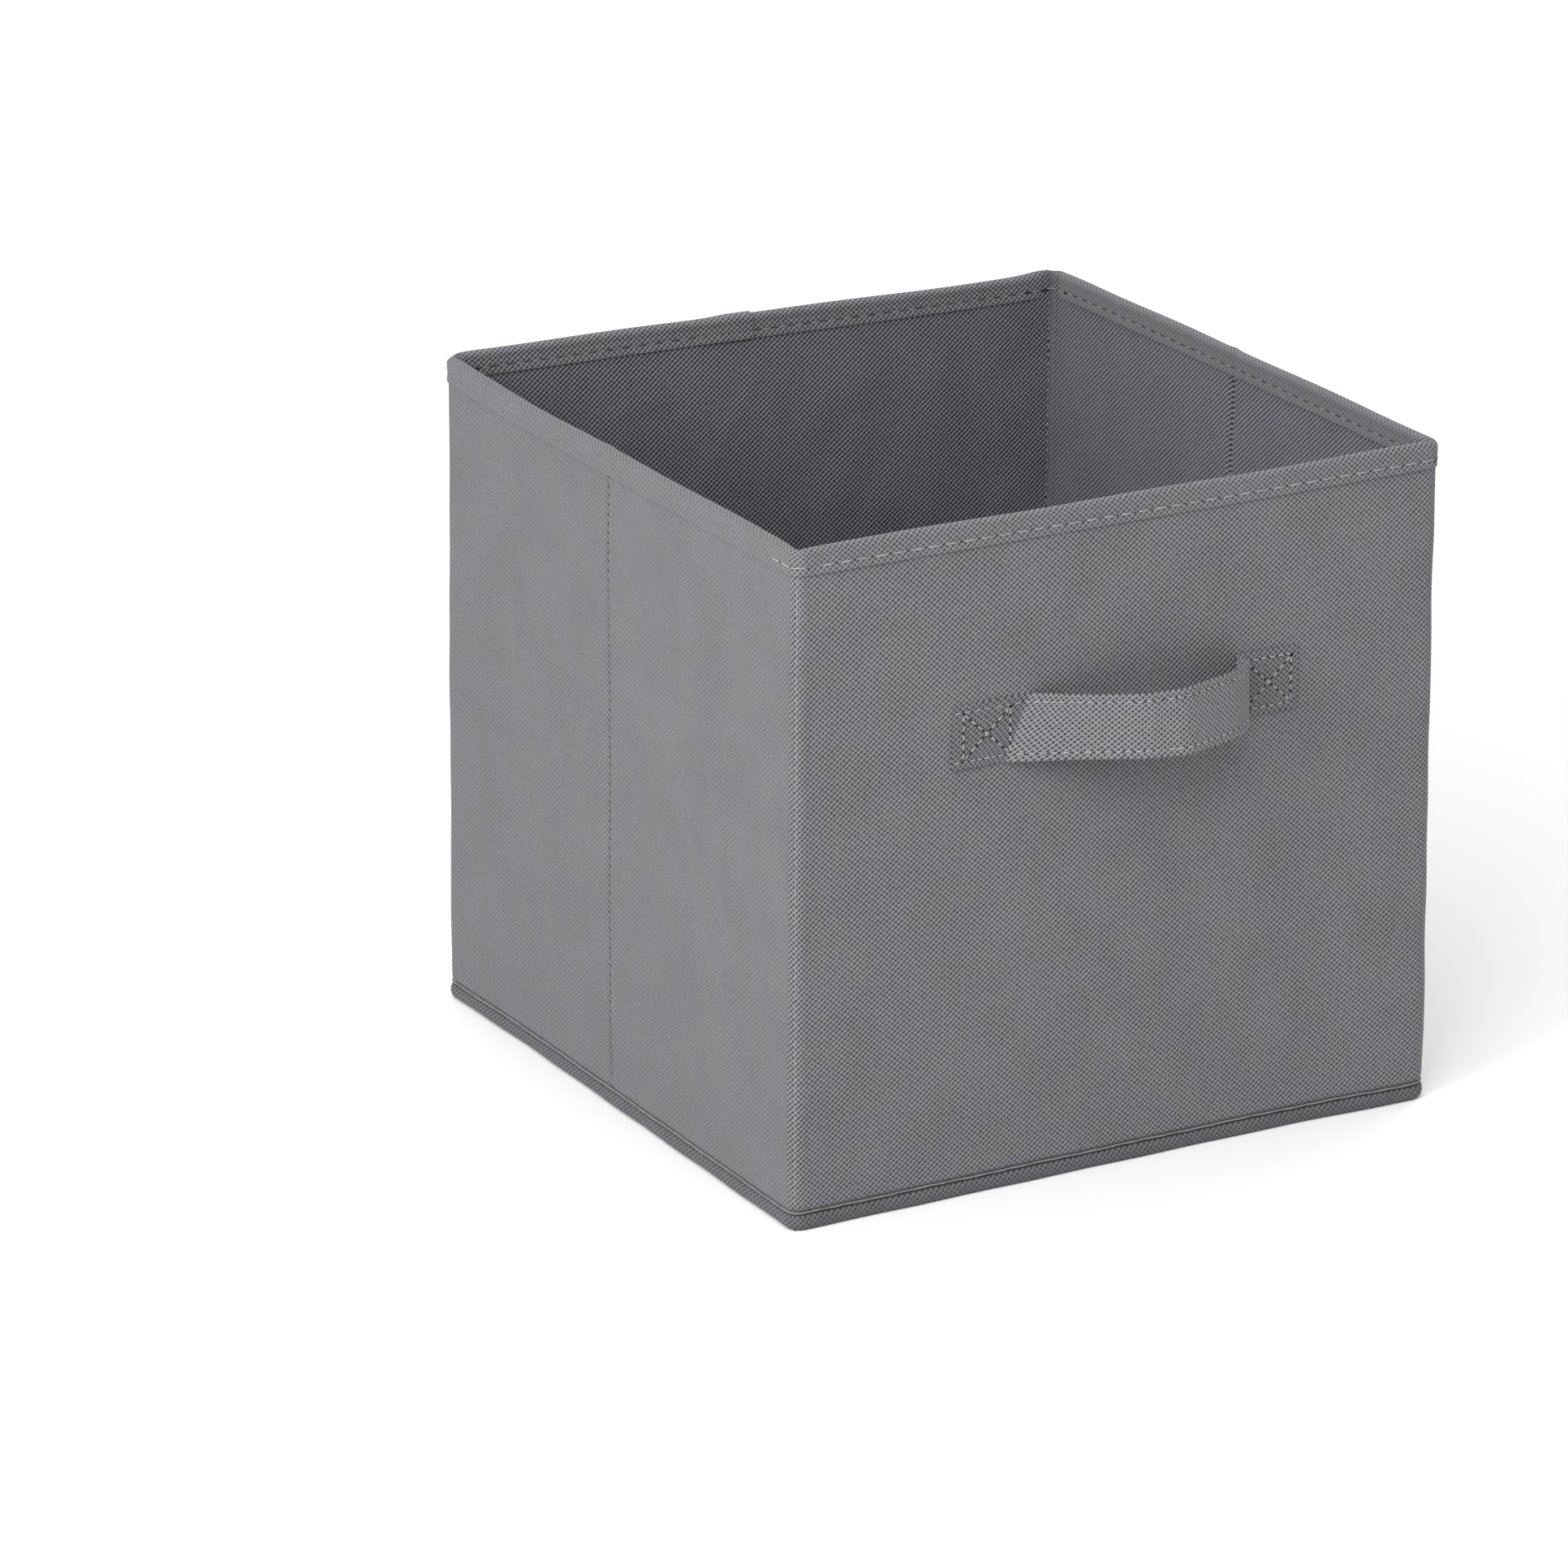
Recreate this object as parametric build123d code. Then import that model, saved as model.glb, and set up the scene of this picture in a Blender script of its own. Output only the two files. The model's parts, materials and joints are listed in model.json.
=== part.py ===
from build123d import *
import os

# Folding fabric storage bin, open at the top, with one strap handle on its front wall.
# Millimetres. +X is right, -Y is the front (handle) side, +Z is up.
# The origin is the middle of the bottom face.
# The walls are stiff boards between two fabrics. Each side wall folds inwards at its middle,
# so the back wall comes forward until the bin is flat. A covered board lies on the bottom.

# Whole bin
half_width = 140.0
bin_height = 265.0

# Wall layers, from the outside in
binding_thick = 0.6
fabric_thick = 0.6
board_thick = 2.4
outer_face = half_width - binding_thick
board_out = outer_face - fabric_thick
board_in = board_out - board_thick
lining_in = board_in - fabric_thick
inner_face = lining_in - binding_thick

# Heights
band_top = 5.9
wall_bottom = 6.5
wall_top = bin_height - binding_thick
board_bottom = 8.2
board_top = 263.4

# Rim binding tape and its row of stitches
binding_leg = 10.2
rim_thread_drop = 7.2

# Threads
thread_wide = 0.7
thread_thick = 0.5
groove_deep = 0.3
base_thread_lift = 0.7
corner_thread_inset = 2.8
seam_low_margin = 5.0
seam_high_margin = 1.0

# Corners: soft zones without board, and how far each one turns round onto the side wall
corner_wide = 7.0
corner_round = 2.2

# Fold lines of the side walls, as places along Y
left_front_axis = -128.0
left_rear_axis = 134.9
right_front_axis = -131.0
right_rear_axis = 131.9
left_fold_line = (left_front_axis + left_rear_axis) / 2
right_fold_line = (right_front_axis + right_rear_axis) / 2
fold_gap = 0.15

# How far each board stops short of the fold lines and of the soft corners
fold_margin = 3.0
corner_margin = 0.2

# Bottom
base_round = 6.0
base_edge_round = 2.0

# Loose bottom insert, hinged along the front wall
insert_half = 134.0
insert_front = -134.9
insert_bottom = 0.8
insert_thick = 3.6
insert_thread_inset = 5.0
flap_height = 20.0
flap_lift = 0.3

# Handle strap
strap_left = -73.3
strap_right = 76.9
strap_middle = 182.6
strap_high = 25.2
strap_thick = 1.2
edge_thread_inset = 3.0
edge_thread_thick = 0.3
swing_left = -34.0
swing_right = 47.5
stitch_box_wide = 20.0
stitch_box_inset = 3.6
stitch_box_left = strap_left + 4.2
stitch_box_right = strap_right - 3.4

# The strap's bends seen from above: place along X, distance out from the wall, radius
strap_flat = strap_thick / 2
strap_bends = [
    (-46.5, strap_flat, 6.0),
    (-4.0, 22.4, 40.0),
    (14.0, 25.2, 25.0),
    (40.0, 17.2, 40.0),
    (49.6, 9.4, 3.0),
    (50.0, strap_flat, 1.0),
]

# How far a cutting block reaches past what it cuts
over = 1.0

os.makedirs("parts", exist_ok=True)


def block(x_span, y_span, z_span):
    """A box between the ends of three spans."""
    size = [span[1] - span[0] for span in (x_span, y_span, z_span)]
    middle = [(span[1] + span[0]) / 2 for span in (x_span, y_span, z_span)]
    return Pos(*middle) * Box(*size)


def slab(side, along, depth, height):
    """A box on one side of the bin: along the wall, outwards from the middle, and up."""
    turned = (-depth[1], -depth[0])
    if side == "front":
        return block(along, turned, height)
    if side == "back":
        return block(along, depth, height)
    if side == "left":
        return block(turned, along, height)
    return block(depth, along, height)


def save(shape, node):
    """Writes one named piece."""
    shape.label = node
    export_step(shape, "parts/" + node + ".step")


def group(pieces):
    """Several separate solids as one named piece."""
    return Compound(children=list(pieces))


# Wall layers


def outer_fabric(side, along):
    return slab(side, along, (board_out, outer_face), (wall_bottom, wall_top))


def board(side, along, margin):
    inner = (along[0] + margin, along[1] - margin)
    return slab(side, inner, (board_in, board_out), (board_bottom, board_top))


def lining(side, along):
    return slab(side, along, (lining_in, board_in), (wall_bottom, wall_top))


def rim_thread(side, along):
    """The rim's row of stitches, as one strip outside and one inside."""
    middle = bin_height - rim_thread_drop
    height = (middle - thread_wide / 2, middle + thread_wide / 2)
    outside = slab(side, along, (half_width - groove_deep, half_width), height)
    inside = slab(side, along, (inner_face, inner_face + groove_deep), height)
    return group([outside, inside])


def binding_strip(side, along):
    """The tape folded over the rim of a straight stretch of wall."""
    leg_bottom = bin_height - binding_leg
    tape = slab(side, along, (inner_face, half_width), (leg_bottom, bin_height))
    return tape - slab(side, along, (lining_in, outer_face), (0, wall_top))


def base_thread(side, along):
    """The stitched ridge of the seam between wall and bottom."""
    low = wall_bottom + base_thread_lift
    depth = (outer_face, outer_face + thread_thick)
    return slab(side, along, depth, (low, low + thread_wide))


# Front and back walls


def turned_strip(wall, along, depth, height, turns, rounding):
    """A strip of the front or back wall that turns onto the side walls, with rounded outer corners.

    turns gives, for each side wall it turns onto, the place along Y where it ends there.
    """
    wall_sign = -1 if wall == "front" else 1
    strip = slab(wall, along, depth, height)
    for side, turn_end in turns.items():
        side_sign = -1 if side == "left" else 1
        reach = sorted((turn_end, wall_sign * (depth[1] - rounding)))
        if turn_end * wall_sign < depth[0]:
            strip = strip + slab(side, reach, depth, height)
        upright = strip.edges().filter_by(Axis.Z)
        place = (side_sign * depth[1], wall_sign * depth[1], height[1] / 2 + height[0] / 2)
        strip = fillet(upright.sort_by_distance(place)[0], rounding)
    return strip


def corner(wall, side, turn_end):
    """The sewn corner: a soft strip of the wall, turned onto the side wall."""
    along = (outer_face - corner_wide, outer_face)
    if side == "left":
        along = (-outer_face, corner_wide - outer_face)
    depth = (lining_in, outer_face)
    return turned_strip(wall, along, depth, (wall_bottom, wall_top), {side: turn_end}, corner_round)


def corner_thread(wall, side):
    """The vertical row of stitches beside a corner."""
    middle = outer_face - corner_thread_inset
    if side == "left":
        middle = -middle
    along = (middle - thread_wide / 2, middle + thread_wide / 2)
    height = (wall_bottom + seam_low_margin, bin_height - binding_leg - seam_high_margin)
    return slab(wall, along, (outer_face, outer_face + thread_thick), height)


def turned_binding(wall, turns):
    """The rim binding of the front or back wall, with its short turns onto the side walls."""
    whole = (-half_width, half_width)
    height = (bin_height - binding_leg, bin_height)
    round_out = corner_round + binding_thick
    tape = turned_strip(wall, whole, (inner_face, half_width), height, turns, round_out)
    within = (-outer_face, outer_face)
    core_height = (height[0] - over, wall_top)
    return tape - turned_strip(wall, within, (lining_in, outer_face), core_height, turns, corner_round)


def across_wall(wall, turns):
    """All the layers of the front or back wall."""
    between = (-(outer_face - corner_wide), outer_face - corner_wide)
    whole = (-half_width + corner_wide, half_width - corner_wide)
    thread = rim_thread(wall, whole)
    save(outer_fabric(wall, between), wall + "_outer_fabric")
    save(board(wall, between, corner_margin), wall + "_board")
    save(lining(wall, between), wall + "_lining")
    save(thread, wall + "_rim_thread")
    save(turned_binding(wall, turns) - list(thread.solids()), wall + "_rim_binding")
    save(base_thread(wall, between), wall + "_base_thread")
    for side, turn_end in turns.items():
        save(corner(wall, side, turn_end), wall + "_corner_" + side)
        save(corner_thread(wall, side), wall + "_corner_thread_" + side)


# Side walls


def side_half(side, part, start, end):
    """All the layers of one half of a side wall, from one fold line to the next."""
    along = (start + fold_gap, end - fold_gap)
    name = side + "_" + part
    thread = rim_thread(side, along)
    save(outer_fabric(side, along), name + "_outer_fabric")
    save(board(side, along, fold_margin), name + "_board")
    save(lining(side, along), name + "_lining")
    save(thread, name + "_rim_thread")
    save(binding_strip(side, along) - list(thread.solids()), name + "_rim_binding")
    save(base_thread(side, along), name + "_base_thread")


def fold_thread(side, fold_line):
    """The vertical row of stitches beside the fold, on the front half."""
    along = (fold_line - fold_gap - 2 * thread_wide, fold_line - fold_gap - thread_wide)
    height = (wall_bottom + seam_low_margin, bin_height - binding_leg - seam_high_margin)
    save(slab(side, along, (outer_face, outer_face + thread_thick), height), side + "_fold_thread")


# Bottom


def base_fabric():
    """The bottom sheet with its upturned edges, as five solids that meet face to face."""
    whole = (-half_width, half_width)
    inside = (-lining_in, lining_in)
    tray = block(whole, whole, (0, band_top))
    tray = fillet(tray.edges().filter_by(Axis.Z), base_round)
    tray = fillet(tray.faces().sort_by(Axis.Z)[0].edges(), base_edge_round)
    tray = tray - block(inside, inside, (fabric_thick, band_top + over))
    height = (-over, band_top + over)
    regions = [
        block(whole, (-half_width, -lining_in), height),
        block(whole, (lining_in, half_width), height),
        block((-half_width, -lining_in), inside, height),
        block((lining_in, half_width), inside, height),
        block(inside, inside, height),
    ]
    pieces = []
    for region in regions:
        pieces += (tray & region).solids()
    save(group(pieces), "base_fabric")


def insert():
    """The covered board on the bottom, its stitches and the flap that hinges it."""
    across = (-insert_half, insert_half)
    back = insert_front + 2 * insert_half
    top = insert_bottom + insert_thick
    cover = block(across, (insert_front, back), (insert_bottom, top))
    inside = (-insert_half + fabric_thick, insert_half - fabric_thick)
    core_y = (insert_front + fabric_thick, back - fabric_thick)
    core_z = (insert_bottom + fabric_thick, top - fabric_thick)
    core = block(inside, core_y, core_z)
    mouth = block(inside, (insert_front, insert_front + fabric_thick), core_z)
    ring_out = insert_half - insert_thread_inset
    ring_in = ring_out - thread_wide
    middle = (insert_front + back) / 2
    ring_z = (top - groove_deep, top)
    ring = block((-ring_out, ring_out), (middle - ring_out, middle + ring_out), ring_z)
    ring = ring - block((-ring_in, ring_in), (middle - ring_in, middle + ring_in), ring_z)
    save(core, "insert_board")
    save(cover - core - mouth - ring, "insert_cover")
    save(ring, "insert_edge_thread")
    flap_z = (top + flap_lift, top + flap_height)
    save(slab("front", across, (inner_face, lining_in), flap_z), "insert_flap")


# Handle


def strap_path():
    """The middle of the strap seen from above: sewn flat at both ends, bowed out between them."""
    ends = [(strap_left, strap_flat, 0), (strap_right, strap_flat, 0)]
    points = [(x, -outer_face - out) for x, out, _ in [ends[0], *strap_bends, ends[1]]]
    return FilletPolyline(*points, radius=[radius for _, _, radius in strap_bends])


def strap_band(path, thick, height):
    """The path thickened to both sides and raised over a span of heights."""
    face = trace(path, thick)
    band = extrude(face, height[1] - height[0], dir=(0, 0, 1))
    return Pos(0, 0, height[0]) * band


def stretch(shape, x_span):
    """The part of the strap between two places along X."""
    return shape & block(x_span, (-2 * half_width, -outer_face), (0, bin_height))


def box_stitch(x_span):
    """Stitches in a box with a cross through it, on the face of a sewn strap end."""
    half = strap_high / 2 - stitch_box_inset
    z_span = (strap_middle - half, strap_middle + half)
    depth = (outer_face + strap_thick, outer_face + strap_thick + edge_thread_thick)
    frame = slab("front", x_span, depth, z_span)
    hole_x = (x_span[0] + thread_wide, x_span[1] - thread_wide)
    hole_z = (z_span[0] + thread_wide, z_span[1] - thread_wide)
    frame = frame - slab("front", hole_x, depth, hole_z)
    wide = x_span[1] - x_span[0] - thread_wide
    high = 2 * half - thread_wide
    tilt = Vector(wide, high, 0).get_angle(Vector(1, 0, 0))
    middle_y = -(depth[0] + depth[1]) / 2
    for sign in (-1, 1):
        bar = Rot(0, sign * tilt, 0) * Box((wide**2 + high**2) ** 0.5, edge_thread_thick, thread_wide)
        frame = frame + Pos((x_span[0] + x_span[1]) / 2, middle_y, strap_middle) * bar
    return frame


def handle():
    """The strap's two sewn ends, the free stretch that swings, and their stitches."""
    path = strap_path()
    height = (strap_middle - strap_high / 2, strap_middle + strap_high / 2)
    strap = strap_band(path, strap_thick, height)
    gap = 2 * fold_gap
    save(stretch(strap, (strap_left - over, swing_left - gap)), "handle_end_left")
    save(stretch(strap, (swing_right + gap, strap_right + over)), "handle_end_right")
    save(stretch(strap, (swing_left, swing_right)), "handle_strap")
    rows = []
    for edge in (height[0] + edge_thread_inset, height[1] - edge_thread_inset):
        row_z = (edge - thread_wide / 2, edge + thread_wide / 2)
        row = strap_band(path, strap_thick + 2 * edge_thread_thick, row_z)
        row = row - strap_band(path, strap_thick, row_z)
        rows += stretch(row, (swing_left, swing_right)).solids()
    save(group(rows), "handle_edge_thread")
    left_box = (stitch_box_left, stitch_box_left + stitch_box_wide)
    right_box = (stitch_box_right - stitch_box_wide, stitch_box_right)
    save(box_stitch(left_box), "handle_box_stitch_left")
    save(box_stitch(right_box), "handle_box_stitch_right")


across_wall("front", {"left": left_front_axis - fold_gap, "right": right_front_axis - fold_gap})
across_wall("back", {"left": inner_face, "right": right_rear_axis + fold_gap})
side_half("left", "front", left_front_axis, left_fold_line)
side_half("left", "rear", left_fold_line, left_rear_axis)
side_half("right", "front", right_front_axis, right_fold_line)
side_half("right", "rear", right_fold_line, right_rear_axis)
fold_thread("left", left_fold_line)
fold_thread("right", right_fold_line)
base_fabric()
insert()
handle()
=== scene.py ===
import json
import math

import bmesh
import bpy
import numpy as np
from mathutils import Matrix, Vector


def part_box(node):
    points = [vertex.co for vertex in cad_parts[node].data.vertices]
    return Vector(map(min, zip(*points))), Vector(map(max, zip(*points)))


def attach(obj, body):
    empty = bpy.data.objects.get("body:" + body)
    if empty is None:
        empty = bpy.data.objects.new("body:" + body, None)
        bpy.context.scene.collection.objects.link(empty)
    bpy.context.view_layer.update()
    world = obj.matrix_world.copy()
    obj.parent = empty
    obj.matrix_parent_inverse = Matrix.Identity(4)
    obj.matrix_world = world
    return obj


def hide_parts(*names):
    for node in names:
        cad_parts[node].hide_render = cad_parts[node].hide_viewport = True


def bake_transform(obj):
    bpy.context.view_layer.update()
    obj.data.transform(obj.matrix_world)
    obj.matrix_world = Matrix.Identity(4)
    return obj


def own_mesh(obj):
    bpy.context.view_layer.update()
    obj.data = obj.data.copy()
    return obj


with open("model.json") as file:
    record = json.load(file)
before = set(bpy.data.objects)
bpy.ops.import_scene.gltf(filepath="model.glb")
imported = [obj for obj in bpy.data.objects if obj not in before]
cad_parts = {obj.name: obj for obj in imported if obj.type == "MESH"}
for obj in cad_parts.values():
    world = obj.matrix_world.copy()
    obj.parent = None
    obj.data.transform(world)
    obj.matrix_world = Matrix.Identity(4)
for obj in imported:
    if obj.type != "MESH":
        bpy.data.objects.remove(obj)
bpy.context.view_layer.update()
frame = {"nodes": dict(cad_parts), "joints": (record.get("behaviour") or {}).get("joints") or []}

MM = 0.001

# ---- sizes read from the frame
JOINT = {j["name"]: j for j in frame["joints"]}
FACE = -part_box("front_outer_fabric")[0].y
FRONT_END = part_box("front_outer_fabric")[1].x
WALL_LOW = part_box("front_outer_fabric")[0].z
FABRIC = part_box("front_lining")[1].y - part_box("front_lining")[0].y
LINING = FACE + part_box("front_lining")[1].y
TAPE_OUT = -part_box("front_rim_binding")[0].y - FACE
TAPE_LOW, TOP = (spot.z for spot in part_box("front_rim_binding"))
THREAD_Z = (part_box("front_rim_thread")[0].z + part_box("front_rim_thread")[1].z) / 2
BAND_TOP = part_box("base_fabric")[1].z
ROUND_TRIP = 8 * FACE
STRAP_LOW, STRAP_HIGH = (spot.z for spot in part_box("handle_strap"))
STRAP_MID = (STRAP_LOW + STRAP_HIGH) / 2
STRAP_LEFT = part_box("handle_end_left")[0].x
STRAP_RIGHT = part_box("handle_end_right")[1].x

# ---- shape of the soft parts
CORNER_ROUND = 5.2 * MM
PANEL_TOP = TOP - 2.6 * MM
PANEL_STEP = 3.0 * MM
CORNER_STEP = 0.7 * MM
FOLD_STEP = 0.4 * MM
PLATE_STEP = 6.0 * MM
FOLD_HALF = 5.2 * MM
TAPE_SKIN = 0.5 * MM
TAPE_CROWN = 2.2 * MM
TAPE_HALF = (TAPE_OUT + LINING + FABRIC) / 2
LAP_LONG = 24 * MM

# How far the wall draws in above the base seam, and how high
SEAM_TUCK = 1.2 * MM
SEAM_TUCK_HIGH = 3.0 * MM

# The cloth's waves: their middle level, how softly they touch the board, and how far from the
# base seam and the rim tape they reach their full height
WAVE_LIFT = 0.22 * MM
WAVE_SOFT = 0.08 * MM
HOLD_REACH = 30 * MM

# The corners: how much further they reach along the side walls than in the frame, and the slit
# where the walls' loop is open
SIDE_REACH = 6 * MM
OPEN_SLIT = 0.3 * MM

# The grooves that rows of stitches draw: depth and half width
SEAM_GROOVE = (0.35 * MM, 0.7 * MM)
FOLD_GROOVE = (0.55 * MM, 0.9 * MM)
FOLD_GROOVE_INSIDE = (2.0 * MM, 1.3 * MM)

# Stitches: steps along the rows, and each kind's length and thickness
RIM_PITCH = 7.4 * MM
SEAM_PITCH = 3.7 * MM
EDGE_PITCH = 4.2 * MM
BOX_PITCH = 3.4 * MM
RIM_STITCH = (6.1 * MM, 0.60 * MM)
LEFT_RIM_STITCH = (2.2 * MM, 0.42 * MM)
INNER_RIM_STITCH = (3.2 * MM, 0.42 * MM)
CORNER_STITCH = (3.6 * MM, 0.42 * MM)
SEAM_STITCH = (2.4 * MM, 0.42 * MM)
EDGE_STITCH = (3.2 * MM, 0.5 * MM)
STRAP_STITCH = (2.9 * MM, 0.62 * MM)
BOX_STITCH = (2.5 * MM, 0.68 * MM)

# A stitch's mesh, its dip and thinning at the ends in thicknesses, the share of stitches that
# sparse rows lack, and how far from the rear left corner the rim has none
STITCH_SIDES, STITCH_RINGS, HOLE_SIDES = 6, 7, 8
STITCH_DIP, STITCH_TAPER = 1.2, 0.3
SUNK_SHARE = 0.35
HOLE_DEEP = 0.25 * MM
BARE_REACH = 7 * MM

# The embossed pits of the cloth: steps round the bin and up the wall
PIT_ACROSS = ROUND_TRIP / 446
PIT_UP = 2.15 * MM

rng = np.random.default_rng(11)


# ---- the wall's surface
def around(places):
    """Points and outward normals of the outer face at places round the bin.

    A place is measured along the front from its middle to the right, then on round the right,
    back and left walls, as if the corners were sharp. One round is ROUND_TRIP.
    """
    places = np.asarray(places, float)
    side = np.floor((places + FACE) / (2 * FACE)).astype(int)
    along = places - 2 * FACE * side
    turn = side * (math.pi / 2)
    straight = np.clip(along, CORNER_ROUND - FACE, FACE - CORNER_ROUND)
    bend = (along - straight) / CORNER_ROUND * (math.pi / 4)
    angle = turn + bend
    normal = np.stack([np.sin(angle), -np.cos(angle)], -1)
    tangent = np.stack([np.cos(turn), np.sin(turn)], -1)
    outward = np.stack([np.sin(turn), -np.cos(turn)], -1)
    centre = tangent * straight[..., None] + outward * (FACE - CORNER_ROUND)
    return centre + normal * CORNER_ROUND, normal


def smooth(x, low, high):
    """0 below low, 1 above high, and an even turn between them."""
    t = np.clip((x - low) / (high - low), 0, 1)
    return t * t * (3 - 2 * t)


def bell(x, middle, shape):
    """A bell curve round a middle, from its height and half width."""
    high, wide = shape
    return high * np.exp(-(((x - middle) / wide) ** 2))


def make_waves(count, low, high, size):
    """Waves round the bin and up the wall, whole numbers of them round, so that they meet again."""
    table = []
    for _ in range(count):
        round_count, up_count = int(rng.integers(low, high)), rng.uniform(0.04, 0.16) * high
        table.append((round_count, up_count, size, rng.uniform(0, 2 * math.pi)))
    return table


OUTER_WAVES = make_waves(5, 5, 13, 0.11 * MM) + make_waves(12, 16, 52, 0.035 * MM)
INNER_WAVES = make_waves(5, 5, 13, 0.10 * MM) + make_waves(12, 16, 52, 0.04 * MM)

# Soft creases in the lining of the back wall, in mm: from (x, z) to (x, z), height, width
BACK_CREASES = [
    ((4, 250), (-22, 205), 0.50, 2.6),
    ((10, 246), (2, 176), 0.32, 5.0),
    ((-34, 236), (-70, 231), 0.40, 2.4),
    ((-30, 226), (-62, 219), 0.28, 2.6),
    ((92, 246), (74, 150), 0.30, 8.0),
    ((118, 240), (104, 120), 0.26, 7.0),
    ((-100, 238), (-112, 160), 0.26, 6.0),
    ((36, 240), (50, 140), 0.22, 9.0),
]

# How far the soft corners stand out at the foot of the wall: the corner's place and the distance
FLARES = [(FACE, 2.6 * MM), (3 * FACE, 2.0 * MM), (5 * FACE, 1.6 * MM)]
FLARE_WIDE = 40 * MM
FLARE_HIGH = 0.85 * TOP

# How far in mm the top of the wall stands above the even height: place as a multiple of FACE, rise
RISE = [
    (-1, 0), (0.3, 0), (1, 0.7), (2, 1.1), (2.85, 0.9), (3.1, -0.8), (3.45, -0.3), (3.7, 0.2),
    (4.1, 1.5), (4.6, 2.2), (5, 3.0), (5.12, 1.2), (5.5, 0), (7, 0),
]
RISE_BLUR = (-12, -6, 0, 6, 12)


def waves(table, places, heights):
    """The shallow waves of cloth over its board, from 0 up."""
    total = np.zeros(np.broadcast(places, heights).shape)
    for round_count, up_count, size, phase in table:
        across = 2 * math.pi * round_count * places / ROUND_TRIP
        total += size * np.sin(across + 2 * math.pi * up_count * heights / TOP + phase)
    lifted = WAVE_LIFT + total
    return 0.5 * (lifted + np.sqrt(lifted**2 + WAVE_SOFT**2))


def held(heights):
    """0 where the base seam and the rim tape hold the cloth down, 1 between them."""
    above_seam = smooth(heights, WALL_LOW, WALL_LOW + HOLD_REACH)
    return above_seam * (1 - smooth(heights, TAPE_LOW - HOLD_REACH, TAPE_LOW))


def flare(places, heights):
    """How far the wall leans out near the soft corners, most at its foot."""
    total = np.zeros(np.broadcast(places, heights).shape)
    for corner_place, amount in FLARES:
        near = bell(places, corner_place, (amount, FLARE_WIDE))
        total = total + near * (1 - smooth(heights, 0, FLARE_HIGH))
    return total


def relief(places, heights):
    """How far the outer cloth stands off its board."""
    return waves(OUTER_WAVES, places, heights) * held(heights) + flare(places, heights)


def inner_relief(places, heights):
    """How far the lining stands off its board, into the bin."""
    total = waves(INNER_WAVES, places, heights)
    x = 4 * FACE - places
    for (x0, z0), (x1, z1), size, wide in BACK_CREASES:
        way = np.array([x1 - x0, z1 - z0]) * MM
        dx, dz = x - x0 * MM, heights - z0 * MM
        share = np.clip((dx * way[0] + dz * way[1]) / (way @ way), 0, 1)
        gap = np.hypot(dx - share * way[0], dz - share * way[1])
        fade = np.sin(math.pi * np.clip(share, 0.02, 0.98)) ** 0.5
        total = total + fade * bell(gap, 0, (size * MM, wide * MM)) * (abs(x) < FACE)
    return total * held(heights)


def risen(places, heights):
    """The heights on the real wall, which stands a little higher or lower here and there."""
    knots, amounts = np.array(RISE).T
    wrapped = (np.asarray(places, float) + FACE) % ROUND_TRIP - FACE
    total = sum(np.interp(wrapped + shift * MM, knots * FACE, amounts) for shift in RISE_BLUR)
    return heights + total / len(RISE_BLUR) * MM * (heights / TOP) ** 2


def tuck(heights):
    """How far the wall draws in just above the base seam."""
    return SEAM_TUCK * (1 - smooth(heights, WALL_LOW, WALL_LOW + SEAM_TUCK_HIGH)) ** 1.5


# ---- meshes
def shown(name, data):
    """A new object of this data in the scene."""
    obj = bpy.data.objects.new(name, data)
    bpy.context.scene.collection.objects.link(obj)
    return obj


def make_object(name, points, faces, uvs, materials, slots=None, sharp_deg=50):
    """A smooth-shaded mesh object with one UV map in metres."""
    mesh = bpy.data.meshes.new(name)
    mesh.from_pydata([tuple(p) for p in points], [], [tuple(f) for f in faces])
    layer = mesh.uv_layers.new(name="metres")
    layer.data.foreach_set("uv", np.asarray(uvs, np.float32).ravel())
    for material in materials:
        mesh.materials.append(material)
    if slots is not None:
        mesh.polygons.foreach_set("material_index", np.asarray(slots, np.int32))
    mesh.polygons.foreach_set("use_smooth", [True] * len(mesh.polygons))
    mesh.set_sharp_from_angle(angle=math.radians(sharp_deg))
    mesh.update()
    return shown(name, mesh)


def swept(name, base, normal, along, depth, height, up, materials, inner_slot=0):
    """A closed band of two skins along a line.

    base and normal give the line seen from above, along its length so far. depth and height, of
    shape (line points, ring points), are the ring at each point: the outer skin first, then the
    inner skin back. up is the ring's own measure for the pattern.
    """
    count, ring = depth.shape
    flat = base[:, None, :] + normal[:, None, :] * depth[:, :, None]
    points = np.concatenate([flat, height[:, :, None]], -1).reshape(-1, 3)
    up = np.broadcast_to(up, depth.shape)
    index = np.arange(count * ring).reshape(count, ring)
    after = np.roll(index, -1, 1)
    sides = np.stack([index[:-1], index[1:], after[1:], after[:-1]], -1).reshape(-1, 4)
    half = ring // 2
    low, high = np.arange(half - 1), np.arange(1, half)
    cap = np.stack([low, high, ring - 1 - high, ring - 1 - low], -1)
    faces = np.concatenate([sides, index[0][cap], index[-1][cap][:, ::-1]])
    place = np.repeat(along, ring)
    uvs = np.stack([place[faces], up.reshape(-1)[faces]], -1).reshape(-1, 2)
    is_inner = np.tile(np.arange(ring) >= half, count - 1)
    slots = np.concatenate([is_inner * inner_slot, np.zeros(2 * len(cap))]).astype(int)
    return make_object(name, points, faces, uvs, materials, slots)


def band(name, places, depth, height, up, materials, inner_slot=0):
    """A closed band of two skins round the bin."""
    base, normal = around(places)
    return swept(name, base, normal, places, depth, height, up, materials, inner_slot)


def steps(start, end, step):
    return np.linspace(start, end, max(2, int(round((end - start) / step)) + 1))


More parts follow.
